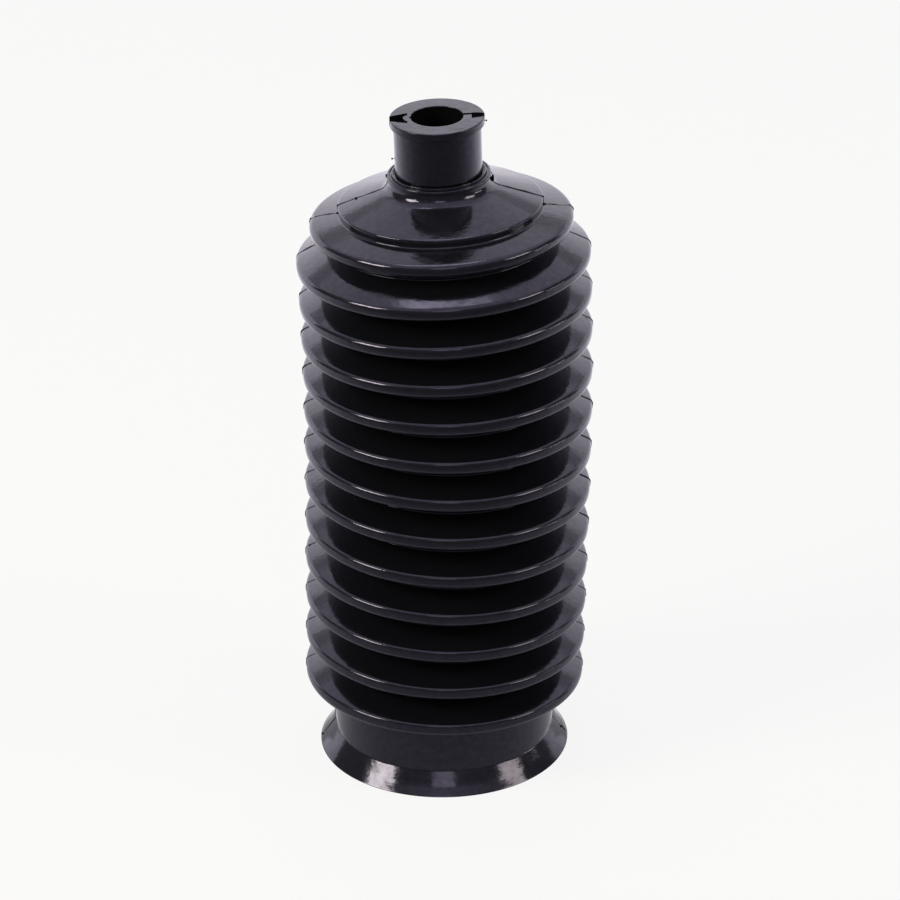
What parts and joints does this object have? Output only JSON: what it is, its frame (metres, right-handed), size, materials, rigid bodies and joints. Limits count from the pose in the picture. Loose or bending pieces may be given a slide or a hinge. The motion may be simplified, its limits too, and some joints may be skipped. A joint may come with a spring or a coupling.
{
  "type": "rubber bellows boot",
  "caption": "Convoluted rubber boot with a flared open base, a stepped conical shoulder and a narrow lipped collar, which seals a sliding rod and its joint against dirt.",
  "frame": {"origin": "where the boot's axis meets the plane of the big end's base", "axes": "+Z along the axis, from the big end's base to the small end's top face; X lies in the mould's parting plane"},
  "size_m": [0.0679, 0.0678, 0.1611],
  "materials": {
    "rubber": "glossy moulded"
  },
  "bodies": {
    "root": {"bellows_boot": "rubber"}
  },
  "joints": []
}
